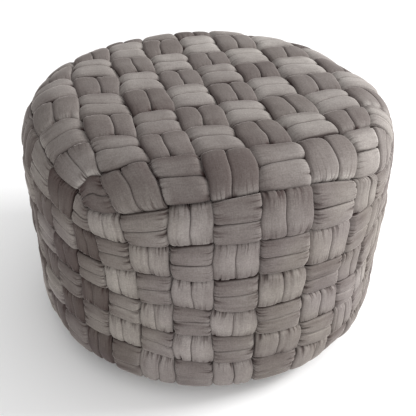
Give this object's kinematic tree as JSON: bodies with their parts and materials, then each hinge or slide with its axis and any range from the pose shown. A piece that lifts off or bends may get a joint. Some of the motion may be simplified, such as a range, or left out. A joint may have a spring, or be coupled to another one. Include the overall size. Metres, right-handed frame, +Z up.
{
  "type": "braided pouf",
  "caption": "Round drum-shaped floor pouf, hand-woven over and under from pairs of stuffed velvet bands, with a flat base panel to rest on.",
  "frame": {"origin": "on the floor, under the middle of the pouf, at the underside of the base panel", "axes": "+Z up, +X along the left-to-right bands of the top, +Y along the front-to-back bands, away from the front"},
  "size_m": [0.5072, 0.5073, 0.3505],
  "materials": {
    "velvet": "taupe grey velvet with a soft sheen along the tubes",
    "base_cloth": "plain dark woven lining cloth"
  },
  "bodies": {
    "root": {"woven_body": "velvet", "base_panel": "base_cloth"}
  },
  "joints": []
}
